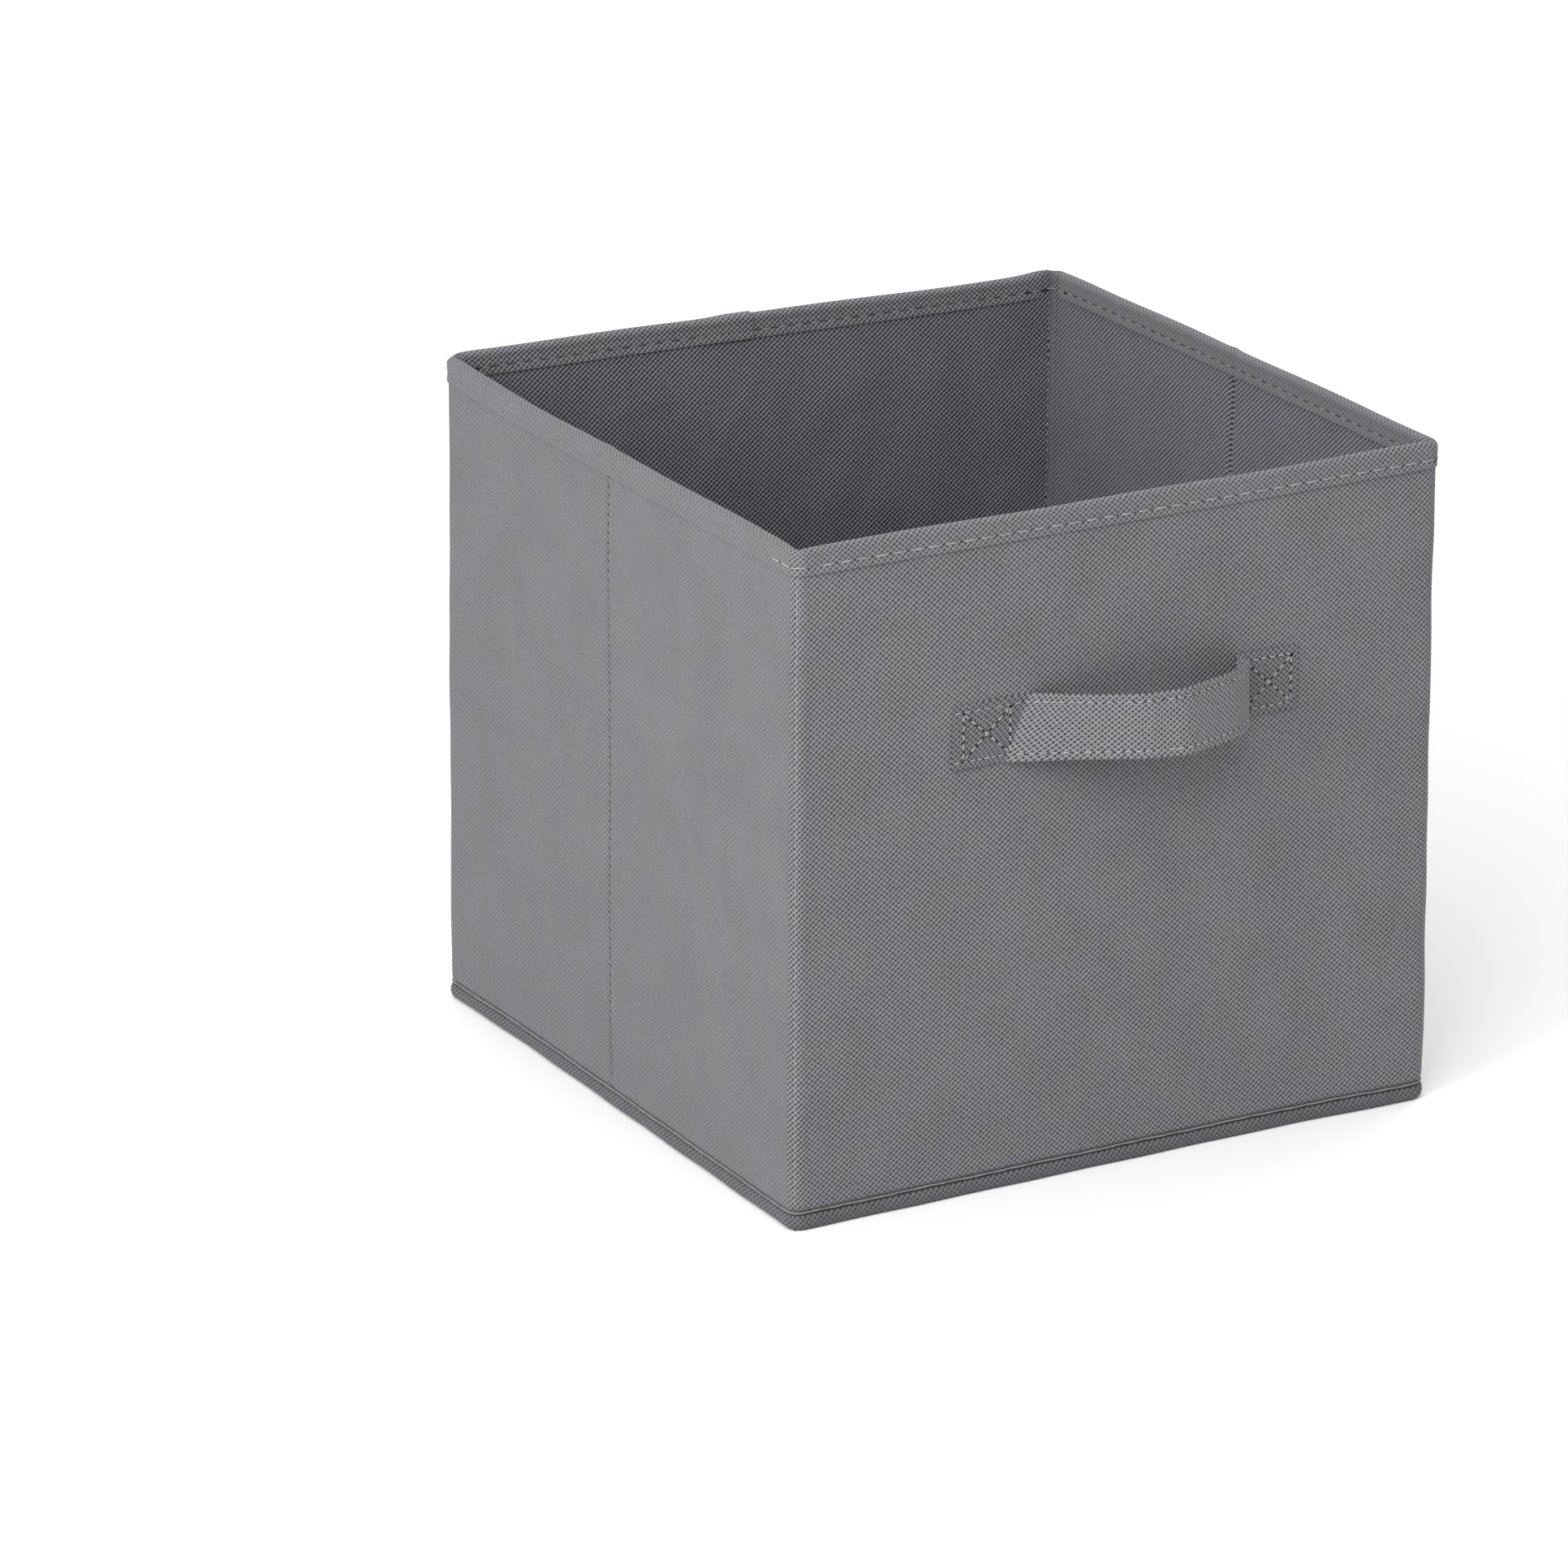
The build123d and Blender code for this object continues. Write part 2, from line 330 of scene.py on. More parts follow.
def skins(places, rows, outer, inner, materials, name, inner_slot=0):
    """A band whose outer and inner skins are functions of place and height."""
    p, z = np.meshgrid(places, rows, indexing="ij")
    depth = np.concatenate([outer(p, z), inner(p, z)[:, ::-1]], 1)
    pattern = np.concatenate([z, z[:, ::-1]], 1)
    height = risen(np.asarray(places)[:, None], pattern)
    return band(name, places, depth, height, pattern, materials, inner_slot)


def panel_rows():
    low = steps(WALL_LOW, WALL_LOW + SEAM_TUCK_HIGH, 0.5 * MM)
    return np.concatenate([low, steps(low[-1], PANEL_TOP, PANEL_STEP)[1:]])


# ---- stitches
def circle(sides):
    turns = np.arange(sides) * (2 * math.pi / sides)
    return [(math.cos(turn), math.sin(turn)) for turn in turns]


def dashes(name, row, kind, size, hole, sparse=False, beside=0.0):
    """Separate stitches: each a short bowed thread that dips into the cloth at both ends.

    row is the stitches' centres, tangents and normals, size their length and thickness, hole the
    length and width of the needle hole after each one, near-black as painted shade, and beside how
    far it lies to the side. Sparse rows lack some stitches, where the thread has sunk out of sight.
    """
    long, wide = size
    points, faces, slots = [], [], []
    for centre, tangent, normal in zip(*row):
        tangent = tangent / np.linalg.norm(tangent)
        normal = normal - tangent * (normal @ tangent)
        normal = normal / np.linalg.norm(normal)
        across = np.cross(tangent, normal)
        length = long * rng.uniform(0.85, 1.08)
        tilt = rng.normal(0, 0.03)
        if not (sparse and rng.uniform() < SUNK_SHARE):
            start = len(points)
            for share in np.linspace(-0.5, 0.5, STITCH_RINGS):
                end = (2 * abs(share)) ** 6
                middle = centre + (tangent + across * tilt) * share * length
                middle = middle - normal * STITCH_DIP * wide * end
                thick = wide / 2 * (1 - STITCH_TAPER * end)
                for x, y in circle(STITCH_SIDES):
                    points.append(middle + thick * (across * x + normal * y))
            for i in range(STITCH_RINGS - 1):
                for j in range(STITCH_SIDES):
                    a = start + i * STITCH_SIDES + j
                    b = start + i * STITCH_SIDES + (j + 1) % STITCH_SIDES
                    faces.append((a, a + STITCH_SIDES, b + STITCH_SIDES, b))
            last = len(points) - STITCH_SIDES
            faces.append(tuple(start + j for j in range(STITCH_SIDES)))
            faces.append(tuple(last + j for j in reversed(range(STITCH_SIDES))))
            slots += [0] * ((STITCH_RINGS - 1) * STITCH_SIDES + 2)
        start = len(points)
        middle = centre + tangent * (long + hole[0]) / 2 + normal * 0.03 * MM + across * beside
        for x, y in circle(HOLE_SIDES):
            points.append(middle + tangent * x * hole[0] / 2 + across * y * hole[1] / 2)
        points.append(middle - normal * HOLE_DEEP)
        faces.append(tuple(start + j for j in range(HOLE_SIDES)))
        faces += [(start + (j + 1) % HOLE_SIDES, start + j, start + HOLE_SIDES) for j in range(HOLE_SIDES)]
        slots += [1] * (HOLE_SIDES + 1)
    points = np.array(points)
    loops = [v for face in faces for v in face]
    uvs = [(points[v][0] + points[v][1], points[v][2]) for v in loops]
    return make_object(name, points, faces, uvs, [kind, HOLE_SHADE], slots, sharp_deg=80)


def on_wall(places, heights, depth, upright=False):
    """Centres, tangents and normals of stitches on the wall, in a row round the bin or up it."""
    base, normal = around(places)
    ahead, _ = around(places + 1 * MM)
    level = np.zeros(len(places))
    centres = np.column_stack([base + normal * depth, risen(places, heights)])
    tangents = np.column_stack([level, level, level + 1] if upright else [ahead - base, level])
    return centres, tangents, np.column_stack([normal, level])


# ---- materials
class Nodes:
    """A short way to write a material's node tree."""

    def __init__(self, name):
        self.material = bpy.data.materials.new(name)
        self.material.use_nodes = True
        self.tree = self.material.node_tree
        self.shader = self.tree.nodes["Principled BSDF"]

    def add(self, kind, inputs=(), **settings):
        """A new node with its settings, and the values or links of its inputs."""
        node = self.tree.nodes.new(kind)
        for key, value in settings.items():
            setattr(node, key, value)
        for key, value in inputs.items() if isinstance(inputs, dict) else enumerate(inputs):
            self.set(node.inputs[key], value)
        return node

    def set(self, socket, value):
        if hasattr(value, "is_output"):
            self.tree.links.new(value, socket)
        else:
            socket.default_value = value

    def math(self, operation, *values):
        return self.add("ShaderNodeMath", values, operation=operation).outputs[0]

    def uv(self):
        """The UV map in metres: whole, across and up."""
        whole = self.add("ShaderNodeUVMap", uv_map="metres").outputs[0]
        split = self.add("ShaderNodeSeparateXYZ", [whole])
        return whole, split.outputs[0], split.outputs[1]

    def noise(self, vector, size, detail=2.0, roughness=0.5):
        """Noise whose features are about size metres."""
        inputs = {"Vector": vector, "Scale": 1 / size, "Detail": detail, "Roughness": roughness}
        return self.add("ShaderNodeTexNoise", inputs).outputs["Fac"]

    def span(self, value, low, high, to_low=0.0, to_high=1.0, kind="SMOOTHSTEP"):
        inputs = value, low, high, to_low, to_high
        return self.add("ShaderNodeMapRange", inputs, interpolation_type=kind).outputs[0]

    def mix(self, factor, first, second):
        inputs = {"Factor": factor, "A": first, "B": second}
        return self.add("ShaderNodeMix", inputs, data_type="RGBA").outputs["Result"]

    def bump(self, height, distance, strength=1.0):
        inputs = {"Distance": distance, "Strength": strength, "Height": height}
        self.set(self.shader.inputs["Normal"], self.add("ShaderNodeBump", inputs).outputs[0])

    def finish(self, color, roughness, sheen=0.0):
        values = {"Base Color": color, "Roughness": roughness, "Specular IOR Level": 0.25}
        values |= {"Sheen Weight": sheen, "Sheen Roughness": 0.4}
        for key, value in values.items():
            self.set(self.shader.inputs[key], value)
        return self.material


def grey(level, blue=0.0):
    """A grey, or with blue a slightly cool one."""
    return (level * (1 - 0.25 * blue), level, level * (1 + blue), 1)


def spunbond(
    name, level, facing=1, pit_dark=0.62, pit=(-0.4, 1.0), cloud=0.07, rib=0.25, blue=0.075, scale=1.0
):
    """Spunbond cloth: a staggered lattice of small embossed pits in matted fibre.

    pit_dark is how dark the pits are painted, shade painted into them on top of the bump, pit where
    their edge lies, cloud how strongly the cloth clouds, rib how strongly the colour is painted
    lighter and darker along the ribs, as light and shade, and scale the size of the lattice. The fibre
    between the pits lies in slanting ribs, which lean the other way where facing is -1.
    """
    n = Nodes(name)
    uv, across, up = n.uv()
    waver = n.span(n.noise(uv, 12 * MM), 0, 1, -0.35, 0.35, "LINEAR")
    turn_across = n.math("MULTIPLY_ADD", across, 2 * math.pi / (PIT_ACROSS * scale), waver)
    turn_up = n.math("MULTIPLY_ADD", up, 2 * math.pi / (PIT_UP * scale), waver)
    lattice = n.math("MULTIPLY", n.math("COSINE", turn_across), n.math("COSINE", turn_up))
    slant = n.math("COSINE", n.math("MULTIPLY_ADD", turn_up, -facing, turn_across))
    fibre = n.noise(uv, 0.5 * MM, 3, 0.75)
    loose = n.span(n.noise(uv, 1.7 * MM, 2), 0.3, 0.7, -0.22, 0.22, "LINEAR")
    sunk = n.span(n.math("ADD", lattice, loose), *pit)
    blotch = n.span(n.noise(uv, 30 * MM, 3, 0.5), 0.32, 0.68, 1 - cloud, 1 + cloud)
    slanted = {"Vector": uv, "Rotation": (0, 0, math.radians(-40)), "Scale": (1, 0.42, 1)}
    streak = n.noise(n.add("ShaderNodeMapping", slanted).outputs[0], 17 * MM, 3, 0.55)
    light = n.math("MULTIPLY", blotch, n.span(streak, 0.32, 0.68, 1 - 0.6 * cloud, 1 + 0.6 * cloud))
    strand = n.span(fibre, 0.28, 0.72, 0.80, 1.20, "LINEAR")
    # Painted light and shade: the colour is lighter along one diagonal of the lattice and darker along the
    # other, as light and shade fall on the slanting ribs
    painted_rib_shading = n.span(slant, -1, 1, 1 + rib, 1 - rib, "LINEAR")
    shade = n.math("MULTIPLY", n.math("MULTIPLY", light, strand), painted_rib_shading)
    # Painted shade: the pits are darkened in colour as well as sunk in the bump
    shade = n.math("MULTIPLY", shade, n.span(sunk, 0, 1, 1, 1 - pit_dark, "LINEAR"))
    hue = n.span(n.noise(uv, 21 * MM, 2), 0.38, 0.62)
    tone = n.mix(hue, grey(level, blue - 0.03), grey(level, blue + 0.03))
    color = n.mix(shade, grey(0.0), tone)
    height = n.math("MULTIPLY_ADD", sunk, -1.0, n.math("MULTIPLY", fibre, 0.35))
    n.bump(n.math("MULTIPLY_ADD", slant, -0.28, height), 0.32 * MM, 0.9)
    return n.finish(color, n.span(fibre, 0.3, 0.7, 0.70, 0.92), sheen=0.12)


def thread(name, level):
    """Sewing thread: fine twisted strands."""
    n = Nodes(name)
    uv, across, up = n.uv()
    twist = n.math("SINE", n.math("MULTIPLY", n.math("ADD", across, up), 2 * math.pi / (0.5 * MM)))
    patch = n.noise(uv, 4 * MM, 2)
    shade = n.math("MULTIPLY", n.span(twist, -1, 1, 0.8, 1.0), n.span(patch, 0.3, 0.7, 0.8, 1.1))
    n.bump(twist, 0.08 * MM)
    color = n.mix(shade, grey(0.0), grey(level, 0.02))
    return n.finish(color, n.span(twist, -1, 1, 0.5, 0.65), sheen=0.1)


def hole_dark(name):
    """The shadowed cloth inside a needle hole."""
    n = Nodes(name)
    spot = n.noise(n.uv()[0], 0.5 * MM)
    return n.finish(n.mix(spot, grey(0.010), grey(0.028)), n.span(spot, 0, 1, 0.85, 1.0))


def greyboard(name):
    """Pressed grey board with fine flecks."""
    n = Nodes(name)
    coordinates = n.add("ShaderNodeTexCoord").outputs["Object"]
    fleck = n.noise(coordinates, 0.8 * MM, 3, 0.7)
    patch = n.noise(coordinates, 20 * MM, 3)
    color = n.mix(n.span(fleck, 0.35, 0.75), (0.20, 0.19, 0.17, 1), (0.29, 0.28, 0.25, 1))
    n.bump(n.math("ADD", fleck, patch), 0.1 * MM)
    return n.finish(color, n.span(patch, 0.3, 0.7, 0.8, 0.95))


# Painted shade and light: the side walls' cloth and tape are darker copies of the front's, with paler pits
# and ribs leaning the other way, for how the light falls on those walls
SIDE_SHADED_LOOK = {"facing": -1, "pit_dark": 0.42}
TAPE_LOOK = {"cloud": 0.04, "rib": 0.16}
INSIDE_LOOK = {"facing": -1, "pit_dark": 0.74, "pit": (-0.6, 1.0), "cloud": 0.10, "rib": 0.42, "blue": 0.13}
STRAP_LOOK = {"pit_dark": 0.80, "pit": (-0.1, 0.85), "cloud": 0.03, "rib": 0.12, "scale": 0.98}
CLOTH = spunbond("outer_cloth", 0.174, pit_dark=0.72)
# Painted shade: the side walls' copy of the cloth, darker than the front's
SIDE_SHADED = spunbond("side_cloth", 0.146, rib=0.26, **SIDE_SHADED_LOOK)
INSIDE = spunbond("lining_cloth", 0.168, **INSIDE_LOOK)
TAPE = spunbond("tape_cloth", 0.174, pit_dark=0.72, **TAPE_LOOK)
# Painted shade: the side walls' copy of the tape, darker than the front's
SIDE_TAPE_SHADED = spunbond("side_tape_cloth", 0.146, **SIDE_SHADED_LOOK, **TAPE_LOOK)
# Painted light and shade: the bowed strap is a lighter copy of the strap cloth, the flat pads at its ends a
# darker one
LIT_STRAP = spunbond("strap_cloth", 0.185, **STRAP_LOOK)
SHADED_PAD = spunbond("pad_cloth", 0.146, **STRAP_LOOK)
# Painted shade: the base band's cloth is darker than the walls', for its place under the seam's overhang
SHADED_BASE = spunbond("base_cloth", 0.112, rib=0.16)
THREAD = thread("light_thread", 0.40)
SEAM_THREAD = thread("seam_thread", 0.17)
CORNER_THREAD = thread("corner_thread", 0.36)
INNER_THREAD = thread("inner_rim_thread", 0.30)
RIDGE = thread("ridge_thread", 0.22)
# Painted shade: the needle holes are near-black cloth in shallow dips
HOLE_SHADE = hole_dark("needle_holes")
BOARD = greyboard("grey_board")


# ---- the walls, piece by piece
def right_place(y):
    return 2 * FACE + y


def rear_place(x):
    return 4 * FACE - x


def left_place(y):
    return 6 * FACE - y


RIGHT_START = right_place(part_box("right_front_outer_fabric")[0].y + SIDE_REACH)
RIGHT_FOLD = right_place(JOINT["right_rear_fold"]["pos_m"][1])
RIGHT_END = right_place(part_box("right_rear_outer_fabric")[1].y)
REAR_START, REAR_END = rear_place(FRONT_END), rear_place(-FRONT_END)
LEFT_START = left_place(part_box("left_rear_outer_fabric")[1].y - SIDE_REACH)
LEFT_FOLD = left_place(JOINT["left_rear_fold"]["pos_m"][1])
LEFT_END = left_place(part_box("left_front_outer_fabric")[0].y + SIDE_REACH)
LAP_END = rear_place(-4.2 * MM)

# Small humps and dips of the rim: place round the bin, half width, rise
RIM_SHAPE = [
    (FACE, 3.5 * MM, -0.7 * MM),
    (3 * FACE, 4.0 * MM, -0.5 * MM),
    (3 * FACE + 9 * MM, 7 * MM, 0.6 * MM),
    (5 * FACE, 4.5 * MM, -1.3 * MM),
    (7 * FACE, 3.0 * MM, -0.5 * MM),
    (LEFT_FOLD - 2 * MM, 3.0 * MM, 0.5 * MM),
    (RIGHT_FOLD + 2 * MM, 3.0 * MM, 0.4 * MM),
]


def fit(obj, bodies, nodes=None):
    """Rides one body, or stays where it is when given two, and hides the frame parts it replaces."""
    if len(bodies) == 1:
        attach(obj, bodies[0])
    else:
        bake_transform(obj)
    if nodes is not None:
        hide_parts(*nodes)


def outer_skin(places, heights):
    return relief(places, heights) - tuck(heights)


def inner_skin(places, heights):
    return -LINING - inner_relief(places, heights)


def rim_rise(places):
    """How far the rim stands above its even height."""
    total = 0.22 * MM * np.sin(2 * math.pi * 11 * places / ROUND_TRIP + 0.7) - 0.25 * MM
    for place, wide, rise in RIM_SHAPE:
        for wrapped in (place, place - ROUND_TRIP, place + ROUND_TRIP):
            total = total + bell(places, wrapped, (rise, wide))
    return total


def corner_pinch(places):
    """How much the rim's inner half thins out near the corners, where it has no board in it."""
    corners = np.round((places + FACE) / (2 * FACE)) * 2 * FACE - FACE
    return bell(places, corners, (0.75, 8.0 * MM))


def tape_ring(places, lift=0.0):
    """The tape's ring: up the outer leg, over the rim and down the inner leg, then back inside."""
    lift = np.broadcast_to(np.asarray(lift, float), places.shape)[:, None]
    leg = steps(TAPE_LOW, TOP - TAPE_CROWN, 0.8 * MM)
    arc = np.linspace(0, math.pi, 15)[1:-1]
    middle = TAPE_OUT - TAPE_HALF
    pulled = bell(leg, THREAD_Z, (0.20 * MM, 1.0 * MM))
    rolled = bell(leg, TOP - 4.4 * MM, (0.16 * MM, 0.7 * MM))
    sway = np.concatenate([-pulled, np.zeros(len(arc)), (pulled + rolled)[::-1]])
    depth, height = [], []
    for inset in (0.0, TAPE_SKIN):
        half = TAPE_HALF - inset
        out = np.concatenate([np.full(len(leg), half), half * np.cos(arc), np.full(len(leg), -half)])
        up = np.concatenate([leg, TOP - TAPE_CROWN + (TAPE_CROWN - inset) * np.sin(arc), leg[::-1]])
        depth.append(out + sway)
        height.append(up)
    length = np.concatenate([[0], np.cumsum(np.hypot(np.diff(depth[0]), np.diff(height[0])))])
    up = TAPE_LOW + np.concatenate([length, length[::-1]])
    ring_depth = np.concatenate([depth[0], depth[1][::-1]])[None, :]
    ring_height = np.concatenate([height[0], height[1][::-1]])[None, :]
    side = np.sign(np.round(ring_depth / MM, 3))
    flutter = 0.10 * MM * (np.sin(places / (6.1 * MM)) * np.sin(places / (17.3 * MM)) + 0.6)[:, None]
    loose = np.clip((THREAD_Z - ring_height) / (THREAD_Z - TAPE_LOW), 0, 1)
    thinner = np.where(ring_depth < 0, corner_pinch(places)[:, None], 0)
    ring_depth = ring_depth * (1 - thinner) + (flutter * loose + lift) * side
    crown = smooth(ring_height, TOP - 4 * MM, TOP)
    ring_height = risen(places[:, None], ring_height + (rim_rise(places)[:, None] + lift) * crown)
    return ring_depth + middle, ring_height, up


def rim_stitches(name, start, end):
    """The rim's stitches outside and inside, between two places, if there are any."""
    whole = np.arange(math.ceil(start / RIM_PITCH), math.ceil(end / RIM_PITCH)) * RIM_PITCH
    whole = whole[np.abs(whole - 5 * FACE) > BARE_REACH]
    if not len(whole):
        return ()
    heights = np.full(len(whole), THREAD_Z)
    if name.startswith("left"):
        row = on_wall(whole, heights, TAPE_OUT - 0.22 * MM)
        outside = dashes(name, row, SEAM_THREAD, LEFT_RIM_STITCH, (1.2 * MM, 0.6 * MM), sparse=True)
    else:
        row = on_wall(whole, heights, TAPE_OUT - 0.12 * MM)
        outside = dashes(name, row, THREAD, RIM_STITCH, (0.9 * MM, 0.7 * MM))
    centres, tangents, normals = on_wall(whole, heights, -LINING - FABRIC + 0.20 * MM)
    row = centres, -tangents, -normals
    # Inside, the long near-black holes are painted shade where the thread sinks into the lining
    inside = dashes(name + "_inside", row, INNER_THREAD, INNER_RIM_STITCH, (3.4 * MM, 1.15 * MM))
    return outside, inside


def base_ridge(name, places):
    """The thin ridge that the base seam raises along the foot of the wall."""
    turn = np.linspace(0, 2 * math.pi, 9)[:-1]
    ring_depth = -0.30 * MM + 0.42 * MM * np.cos(turn - math.pi / 2)
    ring_height = WALL_LOW + 0.35 * MM + 0.40 * MM * np.sin(turn - math.pi / 2)
    wobble = 0.07 * MM * np.sin(places / (1.9 * MM)) + 0.10 * MM * np.sin(places / (7.3 * MM))
    depth = ring_depth + flare(places, WALL_LOW)[:, None]
    height = ring_height + wobble[:, None]
    return band(name, places, depth, height, ring_height, [RIDGE])


def tell_sides(obj, side):
    """Gives the first material's faces on a side wall, clear of the corner, another material: the side
    walls' darker copy, painted shade.
    """
    for face in obj.data.polygons:
        x, y = abs(face.center.x), abs(face.center.y)
        if face.material_index == 0 and x > FACE - 3 * MM and y < FACE - CORNER_ROUND + 1.2 * MM:
            face.material_index = side


def tape_piece(name, places, kinds, bodies, nodes=None, lift=0.0):
    """A stretch of the rim tape, in two materials where it turns onto a side wall."""
    depth, height, up = tape_ring(places, lift)
    tape = band(name, places, depth, height, up, kinds)
    tell_sides(tape, len(kinds) - 1)
    fit(tape, bodies, nodes)


def trims(name, bodies, places, rim_nodes=(), base_nodes=()):
    """Rim stitches and base ridge of one stretch of wall."""
    span = places[0], places[-1]
    stitches, inside = rim_stitches(name + "_rim_stitches", *span)
    ridge = base_ridge(name + "_base_ridge", steps(*span, 1.0 * MM))
    fit(stitches, bodies, rim_nodes)
    fit(inside, bodies, ())
    fit(ridge, bodies, base_nodes)


def panel(name, start, end):
    """One board-stiffened stretch of wall: outer fabric, lining, tape and stitches."""
    # Side walls take the darker copies of the cloth and tape: painted shade
    body, kinds = (name + "_half", (SIDE_SHADED, SIDE_TAPE_SHADED)) if "_" in name else (name + "_wall", (CLOTH, TAPE))
    places, rows = steps(start, end, PANEL_STEP), panel_rows()

    def behind_cloth(p, z):
        return outer_skin(p, z) - FABRIC

    def behind_lining(p, z):
        return inner_skin(p, z) + FABRIC

    cloth = skins(places, rows, outer_skin, behind_cloth, kinds[:1], name + "_outer")
    lining = skins(places, rows, behind_lining, inner_skin, [INSIDE], name + "_inner")
    fit(cloth, [body], nodes=[name + "_outer_fabric"])
    fit(lining, [body], nodes=[name + "_lining"])
    tape_places, tape_nodes = steps(start, end, 1.5 * MM), [name + "_rim_binding"]
    tape_piece(name + "_rim_tape", tape_places, kinds[1:], [body], nodes=tape_nodes)
    trims(name, [body], places, [name + "_rim_thread"], [name + "_base_thread"])


def corner(name, bodies, start, end):
    """A soft sewn corner without board, from one wall round onto the next."""
    places, rows = steps(start, end, CORNER_STEP), panel_rows()
    seam = round((start + end) / 2 / FACE) * FACE
    wall, side = name.split("_")

    def grooved(p, z):
        return outer_skin(p, z) - bell(p, seam, SEAM_GROOVE)

    piece = skins(places, rows, grooved, inner_skin, [CLOTH, INSIDE, SIDE_SHADED], name + "_corner", 1)
    tell_sides(piece, 2)
    fit(piece, bodies, [f"{wall}_corner_{side}"])
    tape_piece(name + "_corner_tape", places, [TAPE, SIDE_TAPE_SHADED], bodies)
    ridge = base_ridge(name + "_corner_base_ridge", places)
    for part in (ridge, *rim_stitches(name + "_corner_rim_stitches", start, end)):
        fit(part, bodies)


def seam_row(
    name, place, bodies, kind, depth, span=None, nodes=(), inward=False, size=SEAM_STITCH, beside=0.0
):
    """A vertical row of small stitches with its needle holes."""
    heights = np.arange(WALL_LOW + 5 * MM, TAPE_LOW - 1 * MM, SEAM_PITCH)
    places = np.full(len(heights), place)
    centres, tangents, normals = on_wall(places, heights, depth, upright=True)
    lift = (inner_relief if inward else relief)(places, heights)
    normals = -normals if inward else normals
    centres[:, :2] += normals[:, :2] * lift[:, None]
    row = dashes(name, (centres, tangents, normals), kind, size, (1.5 * MM, 0.8 * MM), beside=beside)
    fit(row, bodies, nodes)


def fold(side, place, bodies):
    """The stitched fold line between the two halves of a side wall."""
    start, end = place - FOLD_HALF, place + FOLD_HALF
    places, rows = steps(start, end, FOLD_STEP), panel_rows()

    def outside(p, z):
        return outer_skin(p, z) - bell(p, place, FOLD_GROOVE)

    def inside(p, z):
        return inner_skin(p, z) + bell(p, place, FOLD_GROOVE_INSIDE)

    piece = skins(places, rows, outside, inside, [SIDE_SHADED, INSIDE], side + "_fold_cloth", 1)
    fit(piece, bodies)
    tape_piece(side + "_fold_rim_tape", places, [SIDE_TAPE_SHADED], bodies, ())
    trims(side + "_fold", bodies, places)
    nodes = [side + "_fold_thread"]
    seam_row(side + "_fold_stitches", place, bodies, SEAM_THREAD, -0.5 * MM, (start, end), nodes)


def walls():
    """The six stretches with boards, the two folds and the four corners."""
    panel("front", -FRONT_END, FRONT_END)
    panel("right_front", RIGHT_START, RIGHT_FOLD - FOLD_HALF)
    panel("right_rear", RIGHT_FOLD + FOLD_HALF, RIGHT_END)
    panel("back", REAR_START, REAR_END)
    panel("left_rear", LEFT_START, LEFT_FOLD - FOLD_HALF)
    panel("left_front", LEFT_FOLD + FOLD_HALF, LEFT_END)
    fold("right", RIGHT_FOLD, ["right_front_half", "right_rear_half"])
    fold("left", LEFT_FOLD, ["left_rear_half", "left_front_half"])
    corner("front_right", ["front_wall", "right_front_half"], FRONT_END, RIGHT_START)
    corner("back_right", ["back_wall"], RIGHT_END + OPEN_SLIT, REAR_START)
    corner("back_left", ["back_wall", "left_rear_half"], REAR_END, LEFT_START)
    corner("front_left", ["left_front_half", "front_wall"], LEFT_END, ROUND_TRIP - FRONT_END)


def corner_seams():
    """The vertical rows of stitches on the four corners, outside and inside."""
    places = {"front_left": 7 * FACE, "front_right": FACE, "back_right": 3 * FACE, "back_left": 5 * FACE}
    for name, place in places.items():
        wall, side = name.split("_")
        row, body = name + "_seam_stitches", [wall + "_wall"]
        look = {"nodes": [f"{wall}_corner_thread_{side}"], "size": CORNER_STITCH, "beside": -0.7 * MM}
        seam_row(row, place, body, CORNER_THREAD, -0.35 * MM, **look)
        to_wall = 1 if name in ("front_left", "back_right") else -1
        row, inner = name + "_inner_seam_stitches", place + to_wall * (LINING + 0.9 * MM)
        seam_row(row, inner, body, THREAD, 0.05 * MM - LINING, inward=True)


def tape_lap():
    """The free end of the rim tape, lapped over its own start on the back wall."""
    places = steps(LAP_END, LAP_END + LAP_LONG, 0.8 * MM)
    lift = 0.55 * MM * (1 - smooth(places, LAP_END + 8 * MM, LAP_END + LAP_LONG)) + 0.02 * MM
    tape_piece("tape_lap", places, [TAPE], ["back_wall"], lift=lift)


# ---- the bottom
def places_all_round():
    """Places once round the bin, close together on the corners."""
    bend = FACE - 12 * MM
    straight, turn = steps(-bend, bend, PANEL_STEP)[:-1], steps(bend, 2 * FACE - bend, CORNER_STEP)[:-1]
    one_side = np.concatenate([straight, turn])
    places = np.concatenate([one_side + 2 * FACE * side for side in range(4)])
    return np.append(places, places[0] + ROUND_TRIP)


